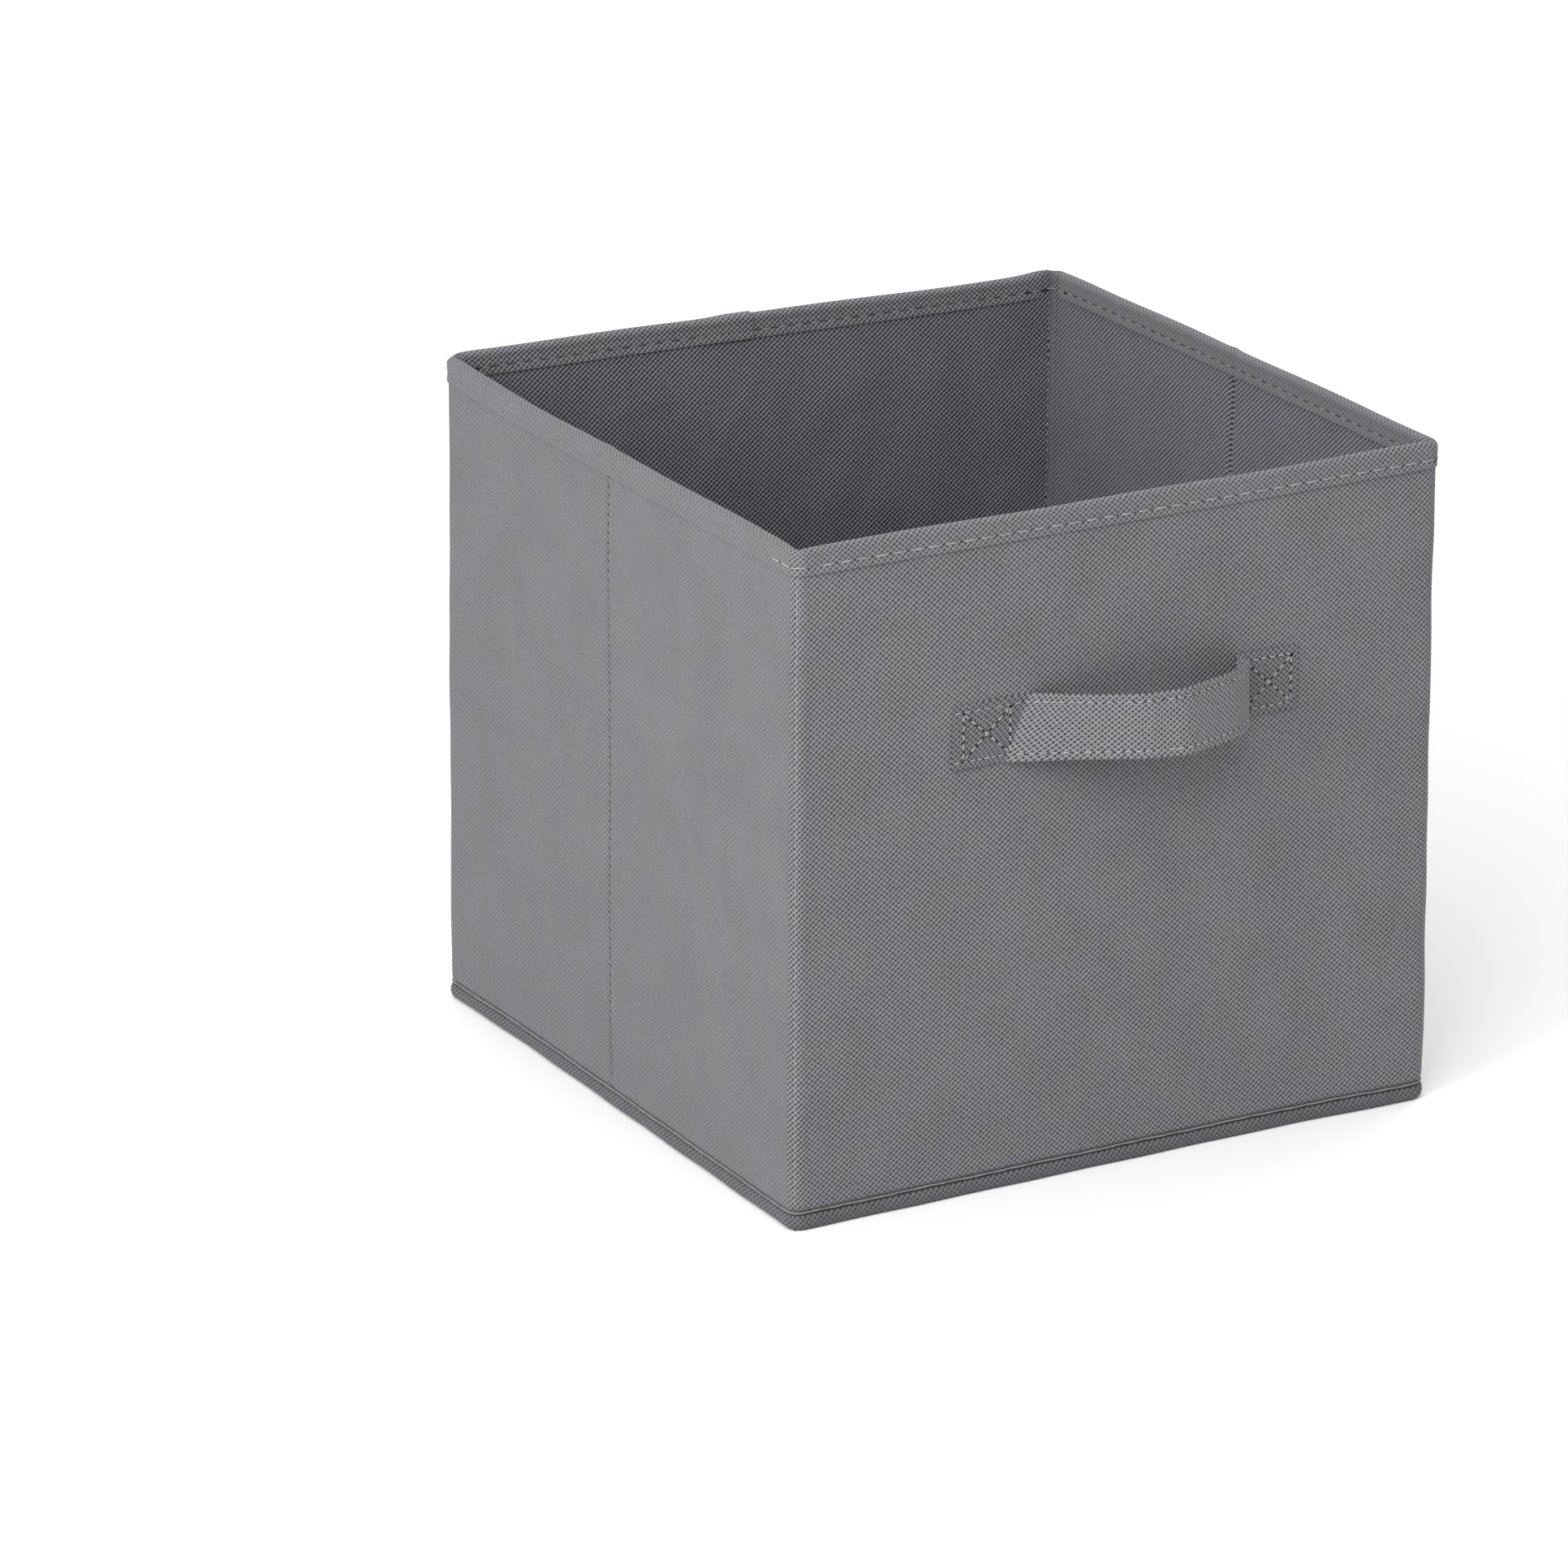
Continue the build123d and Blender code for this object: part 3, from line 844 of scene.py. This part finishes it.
def bottom():
    """The band below the base seam and the flat bottom cloth."""
    places = places_all_round()
    thick, bulge, set_back = 0.6 * MM, 2.6 * MM, 2.0 * MM
    turn = np.linspace(-math.pi / 2, math.pi / 2, 15)
    middle = BAND_TOP / 2 + 0.1 * MM
    out = bulge * np.cos(turn) ** 0.7 - set_back
    up = middle + (BAND_TOP / 2) * np.sin(turn)
    inner_up = middle + (BAND_TOP / 2 - thick) * np.sin(turn)
    depth = np.tile(np.concatenate([out, (out - thick)[::-1]]), (len(places), 1))
    height = np.tile(np.concatenate([up, inner_up[::-1]]), (len(places), 1))
    sag = 0.18 * MM * np.sin(2 * math.pi * 23 * places / ROUND_TRIP)
    depth += (sag + flare(places, 0))[:, None]
    skirt = band("base_band", places, depth, height, height, [SHADED_BASE])
    reach = FACE - 1.5 * MM
    flat = cloth_plate("base_sheet", (-reach, -reach, 0.1 * MM), (reach, reach, thick), SHADED_BASE)
    base = joined("base_cloth", [flat, skirt])
    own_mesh(base)
    fit(base, ["front_wall"], nodes=["base_fabric"])


def joined(name, pieces):
    """Several meshes with the same materials as one object."""
    whole = bmesh.new()
    for piece in pieces:
        whole.from_mesh(piece.data)
    mesh = bpy.data.meshes.new(name)
    whole.to_mesh(mesh)
    whole.free()
    for material in pieces[0].data.materials:
        mesh.materials.append(material)
    for piece in pieces:
        bpy.data.objects.remove(piece)
    return shown(name, mesh)


def edged_steps(start, end, edge):
    """Steps across a plate, close together within a rounded edge."""
    if not edge:
        return steps(start, end, PLATE_STEP)
    near = np.array([0.0, 0.25, 0.6]) * edge
    return np.concatenate([start + near, steps(start + edge, end - edge, PLATE_STEP), end - near[::-1]])


def cloth_plate(name, low, high, kind, swell=0.0, edge=0.0):
    """A flat closed plate of cloth between two corners, with a rounded edge and a soft swell."""
    (x0, y0, z0), (x1, y1, z1) = low, high
    gx, gy = np.meshgrid(edged_steps(x0, x1, edge), edged_steps(y0, y1, edge), indexing="ij")
    near = np.minimum(np.minimum(gx - x0, x1 - gx), np.minimum(gy - y0, y1 - gy))
    share = np.clip(near / edge, 0, 1) if edge else np.ones_like(near)
    half = (z1 - z0) / 2 * (0.35 + 0.65 * np.sqrt(1 - (1 - share) ** 2))
    ripple = swell * np.sin(gx / (19 * MM) + 1.3 * np.sin(gy / (31 * MM))) * np.sin(gy / (23 * MM)) * share
    above, below = (z0 + z1) / 2 + half + ripple, (z0 + z1) / 2 - half
    rows, cols = gx.shape
    index = np.arange(rows * cols).reshape(rows, cols)
    quads = np.stack([index[:-1, :-1], index[1:, :-1], index[1:, 1:], index[:-1, 1:]], -1).reshape(-1, 4)
    under = quads[:, ::-1] + rows * cols
    loop = np.concatenate([index[:, 0], index[-1, 1:], index[-2::-1, -1], index[0, -2:0:-1]])
    after = np.roll(loop, -1)
    wall = np.stack([loop + rows * cols, after + rows * cols, after, loop], -1)
    faces = np.concatenate([quads, under, wall])
    points = np.concatenate([np.stack([gx, gy, z], -1).reshape(-1, 3) for z in (above, below)])
    uvs = points[faces][:, :, :2].reshape(-1, 2)
    return make_object(name, points, faces, uvs, [kind])


def insert():
    """The covered bottom board, its edge stitches and the flap that hinges it."""
    low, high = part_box("insert_cover")
    cover = cloth_plate("insert_cover_cloth", low, high, INSIDE, swell=0.05 * MM, edge=1.6 * MM)
    fit(cover, ["base_insert"], nodes=["insert_cover"])
    ring_low, ring_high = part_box("insert_edge_thread")
    z = high.z - 0.2 * MM
    xs = np.arange(ring_low.x + 3 * MM, ring_high.x - 2 * MM, EDGE_PITCH)
    ys = np.arange(ring_low.y + 3 * MM, ring_high.y - 2 * MM, EDGE_PITCH)
    spots = [(x, y, z) for x in xs for y in (ring_low.y, ring_high.y)]
    spots += [(x, y, z) for y in ys for x in (ring_low.x, ring_high.x)]
    ways = np.repeat([[1.0, 0.0, 0.0], [0.0, 1.0, 0.0]], [2 * len(xs), 2 * len(ys)], axis=0)
    row = np.array(spots), ways, np.tile([0.0, 0.0, 1.0], (len(spots), 1))
    stitches = dashes("insert_edge_stitches", row, THREAD, EDGE_STITCH, (0.6 * MM, 0.6 * MM))
    fit(stitches, ["base_insert"], nodes=["insert_edge_thread"])
    low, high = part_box("insert_flap")

    def on_lining(p, z):
        return 0 * p * z - LINING - 0.03 * MM

    def into_bin(p, z):
        sway = 0.12 * MM * np.sin(p / (7 * MM)) * smooth(z, low.z, high.z)
        return sway - LINING - 0.5 * MM

    places, rows = steps(low.x, high.x, PANEL_STEP), steps(low.z, high.z, 2 * MM)
    flap = skins(places, rows, on_lining, into_bin, [INSIDE], "insert_flap_cloth")
    fit(flap, ["front_wall"], nodes=["insert_flap"])


# ---- the handle
STRAP_THICK = 1.2 * MM
STRAP_HALF = STRAP_THICK / 2
STRAP_STEP = 0.5 * MM
STITCH_INSET = 3.0 * MM
LIFT_LEFT = -46.5 * MM
LIFT_RIGHT = 50.0 * MM
STRAP_MEET = 4 * MM
# The strap's bends seen from above: place along X, distance out from the wall, radius
STRAP_BENDS = [
    (STRAP_LEFT, STRAP_HALF, 0),
    (LIFT_LEFT, STRAP_HALF, 5 * MM),
    (-4 * MM, 22.4 * MM, 34 * MM),
    (13 * MM, 25.4 * MM, 16 * MM),
    (40 * MM, 17.0 * MM, 40 * MM),
    (49.4 * MM, 9.4 * MM, 3 * MM),
    (LIFT_RIGHT, STRAP_HALF, 1.1 * MM),
    (STRAP_RIGHT, STRAP_HALF, 0),
]


def strap_line():
    """The strap's middle seen from above, with rounded bends: points, directions and lengths."""
    corners = [np.array([x, -FACE - out]) for x, out, _ in STRAP_BENDS]
    line = [corners[0]]
    for before, here, after, (_, _, radius) in zip(corners, corners[1:], corners[2:], STRAP_BENDS[1:]):
        way_in = (here - before) / np.linalg.norm(here - before)
        way_out = (after - here) / np.linalg.norm(after - here)
        reach = radius * math.tan(math.acos(np.clip(way_in @ way_out, -1, 1)) / 2)
        first, last = here - way_in * reach, here + way_out * reach
        for share in np.linspace(0, 1, 12):
            line.append((1 - share) ** 2 * first + 2 * share * (1 - share) * here + share**2 * last)
    line = np.array([*line, corners[-1]])
    along = np.concatenate([[0], np.cumsum(np.linalg.norm(np.diff(line, axis=0), axis=1))])
    even = np.arange(0, along[-1], STRAP_STEP)
    points = np.stack([np.interp(even, along, line[:, k]) for k in (0, 1)], -1)
    return points, np.gradient(points, axis=0), even


STRAP_POINTS, STRAP_AHEAD, STRAP_ALONG = strap_line()
STRAP_NORMALS = np.stack([STRAP_AHEAD[:, 1], -STRAP_AHEAD[:, 0]], -1)
STRAP_NORMALS /= np.linalg.norm(STRAP_NORMALS, axis=1)[:, None]
LIFTED_FROM = STRAP_ALONG[np.argmax(STRAP_POINTS[:, 0] > LIFT_LEFT + 4 * MM)] + 2 * MM
LIFTED_TO = STRAP_ALONG[np.argmax(STRAP_POINTS[:, 0] > LIFT_RIGHT - 2 * MM)] - 2 * MM


def lean(points):
    """Slants the crease where the strap lifts off, and bows its lower edge further out."""
    up = (points[:, 2] - STRAP_MID) / (STRAP_HIGH - STRAP_MID)
    points[:, 0] += bell(points[:, 0], LIFT_LEFT, (5.0 * MM, 15 * MM)) * up
    out = np.clip((-FACE - STRAP_THICK - points[:, 1]) / (20 * MM), 0, 1)
    right = smooth(points[:, 0], -8 * MM, 18 * MM)
    points[:, 1] += 1.5 * MM * up * out * right
    return points


def fit_strap(obj, nodes):
    """Fixes a piece of the strap where it is and hides the frame parts it replaces."""
    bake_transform(obj)
    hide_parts(*nodes)


def strap_cloth(name, pick, nodes):
    """One half of the strap: two layers of cloth with folded edges, pinched along their stitches."""
    along, edge = STRAP_ALONG[pick], 0.6 * MM
    turn = edge * (1 - np.cos(np.linspace(0, math.pi / 2, 4)))
    middle_rows = steps(STRAP_LOW + 1.2 * MM, STRAP_HIGH - 1.2 * MM, 0.8 * MM)
    rows = np.concatenate([STRAP_LOW + turn, middle_rows, STRAP_HIGH - turn[::-1]])
    from_edge = np.minimum(rows - STRAP_LOW, STRAP_HIGH - rows)
    full = np.sqrt(np.clip(1 - (1 - np.clip(from_edge / edge, 0, 1)) ** 2, 0, 1))
    thick = STRAP_HALF * (0.3 + 0.7 * full) - bell(from_edge, STITCH_INSET, (0.18 * MM, 0.7 * MM))
    ripple = np.sin(along / (0.59 * MM))[:, None] * bell(from_edge, 0, (0.05 * MM, 2.2 * MM))
    front = thick + ripple + 0.12 * MM * np.sin(along / (9 * MM))[:, None] * np.sin(rows / (5 * MM))
    back = np.tile(-thick, (len(along), 1))
    depth = np.concatenate([front, back[:, ::-1]], 1)
    height = np.tile(np.concatenate([rows, rows[::-1]]), (len(along), 1))
    line, normals = STRAP_POINTS[pick], STRAP_NORMALS[pick]
    piece = swept(name, line, normals, along, depth, height, height, [LIT_STRAP, SHADED_PAD])
    # Painted light and shade: faces near the wall, on the pads, take the darker copy of the strap cloth,
    # the bowed strap the lighter one
    for face in piece.data.polygons:
        face.material_index = int(face.center.y > -FACE - 1.6 * MM)
    points = lean(np.array([v.co for v in piece.data.vertices]))
    piece.data.vertices.foreach_set("co", points.astype(np.float32).ravel())
    piece.data.update()
    fit_strap(piece, nodes)


def strap_stitches(name, pick, nodes):
    """The rows of stitches along both edges of one half of the strap, on both of its faces."""
    centres, tangents, facing = [], [], []
    where = np.arange(STRAP_ALONG[pick][0] + 2 * MM, STRAP_ALONG[pick][-1] - 0.5 * MM, SEAM_PITCH)
    lifted = where[(where >= LIFTED_FROM) & (where <= LIFTED_TO)]
    for height in (STRAP_LOW + STITCH_INSET, STRAP_HIGH - STITCH_INSET):
        for sign, stretch in ((1, where), (-1, lifted)):
            for at in np.round(stretch / STRAP_STEP).astype(int):
                out = STRAP_NORMALS[at] * sign
                centres.append((*(STRAP_POINTS[at] + out * (STRAP_HALF - 0.10 * MM)), height))
                tangents.append((*STRAP_AHEAD[at], 0))
                facing.append((*out, 0))
    row = lean(np.array(centres)), np.array(tangents), np.array(facing)
    stitches = dashes(name, row, THREAD, STRAP_STITCH, (0.9 * MM, 0.75 * MM))
    fit_strap(stitches, nodes)


def cross_box(side):
    """The box of stitches with a cross through it that fixes one end of the strap."""
    node = "handle_box_stitch_" + side
    low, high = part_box(node)
    box = [np.array(spot) for spot in ((low.x, low.z), (high.x, low.z), (high.x, high.z), (low.x, high.z))]
    centres, tangents = [], []
    for first, last in ((1, 2), (3, 0), (0, 2), (1, 3)):
        way = box[last] - box[first]
        count = int(np.linalg.norm(way) / BOX_PITCH)
        for k in range(count):
            x, z = box[first] + way * (k + 0.5) / count
            centres.append((x, low.y + 0.10 * MM, z))
            tangents.append((way[0], 0, way[1]))
    row = np.array(centres), np.array(tangents, float), np.tile([0.0, -1.0, 0.0], (len(centres), 1))
    stitches = dashes(side + "_cross_stitches", row, THREAD, BOX_STITCH, (1.3 * MM, 0.9 * MM))
    fit(stitches, ["front_wall"], nodes=[node])


def handle():
    """The strap in two halves, its rows of stitches and the boxes that fix its ends."""
    middle = np.argmax(STRAP_POINTS[:, 0] > STRAP_MEET)
    left, right = slice(0, middle + 1), slice(middle, len(STRAP_POINTS))
    strap_cloth("strap_left_half", left, ["handle_end_left", "handle_strap"])
    strap_cloth("strap_right_half", right, ["handle_end_right"])
    strap_stitches("strap_left_stitches", left, ["handle_edge_thread"])
    strap_stitches("strap_right_stitches", right, [])
    cross_box("left")
    cross_box("right")


# ---- boards
def boards():
    """The boards are the frame's own solids, in their own material."""
    for name, node in frame["nodes"].items():
        if name.endswith("_board"):
            node.data.materials.clear()
            node.data.materials.append(BOARD)


# ---- stage, light and camera
FLOOR_REACH, FLOOR_LEVEL, FLOOR_PAINT = 6.0, -0.2 * MM, 0.79
SKY_STRENGTH = 0.76
# The lamps: name, place, target, size in metres, power in watts
BIN_MIDDLE = (0, 0, TOP / 2)
LAMPS = [
    ("key_softbox", (-1.6, -0.5, 0.9), BIN_MIDDLE, 0.8, 20),
    ("high_softbox", (-1.5, -1.1, 1.5), BIN_MIDDLE, 1.2, 17),
    ("front_softbox", (-0.5, -1.4, 2.2), BIN_MIDDLE, 1.4, 22),
    ("backdrop_softbox", (0.3, 1.9, 1.9), (0.1, 1.1, 0), 1.5, 14),
    ("right_backdrop_softbox", (1.9, 0.9, 1.6), (0.8, 0.3, 0), 1.2, 13),
]


def stage():
    """A plain pale floor."""
    around_it = ((-1, -1), (1, -1), (1, 1), (-1, 1))
    corners = [(x * FLOOR_REACH, y * FLOOR_REACH, FLOOR_LEVEL) for x, y in around_it]
    mesh = bpy.data.meshes.new("floor")
    mesh.from_pydata(corners, [], [(0, 1, 2, 3)])
    shown("floor", mesh)
    paint = Nodes("pale_floor")
    paint.finish(grey(FLOOR_PAINT), 0.9)
    mesh.materials.append(paint.material)


def area_light(name, place, target, size, power):
    data = bpy.data.lights.new(name, "AREA")
    data.size = size
    data.energy = power
    lamp = shown(name, data)
    lamp.location = place
    lamp.rotation_euler = (Vector(target) - Vector(place)).to_track_quat("-Z", "Y").to_euler()


def light():
    """An even white sky and the lamps."""
    world = bpy.data.worlds.new("studio")
    world.use_nodes = True
    sky = world.node_tree.nodes["Background"]
    sky.inputs["Color"].default_value = (1, 1, 1, 1)
    sky.inputs["Strength"].default_value = SKY_STRENGTH
    bpy.context.scene.world = world
    for lamp in LAMPS:
        area_light(*lamp)
    view = bpy.context.scene.view_settings
    view.view_transform = "Standard"
    view.look = "None"


CAMERA_AZIMUTH, CAMERA_ELEVATION, CAMERA_ROLL = -29.37, 19.59, 0.19
CAMERA_DISTANCE = 2.849
CAMERA_LENS = 165.7
AIM_RIGHT, AIM_UP = -0.0568, 0.1025


def camera():
    """The camera, aimed a little beside and above the frame's origin."""
    a, e, roll = (math.radians(x) for x in (CAMERA_AZIMUTH, CAMERA_ELEVATION, CAMERA_ROLL))
    back = Vector((math.sin(a) * math.cos(e), -math.cos(a) * math.cos(e), math.sin(e)))
    right = Vector((math.cos(a), math.sin(a), 0))
    up = back.cross(right)
    place = right * AIM_RIGHT + up * AIM_UP + back * CAMERA_DISTANCE
    turned_right = right * math.cos(roll) + up * math.sin(roll)
    turned_up = up * math.cos(roll) - right * math.sin(roll)
    data = bpy.data.cameras.new("camera")
    data.lens = CAMERA_LENS
    data.sensor_width = 36
    data.clip_end = 30
    view = shown("camera", data)
    turn = Matrix((turned_right, turned_up, back)).transposed().to_4x4()
    view.matrix_world = Matrix.Translation(place) @ turn
    bpy.context.scene.camera = view


camera()
light()
stage()
walls()
corner_seams()
tape_lap()
bottom()
insert()
handle()
boards()
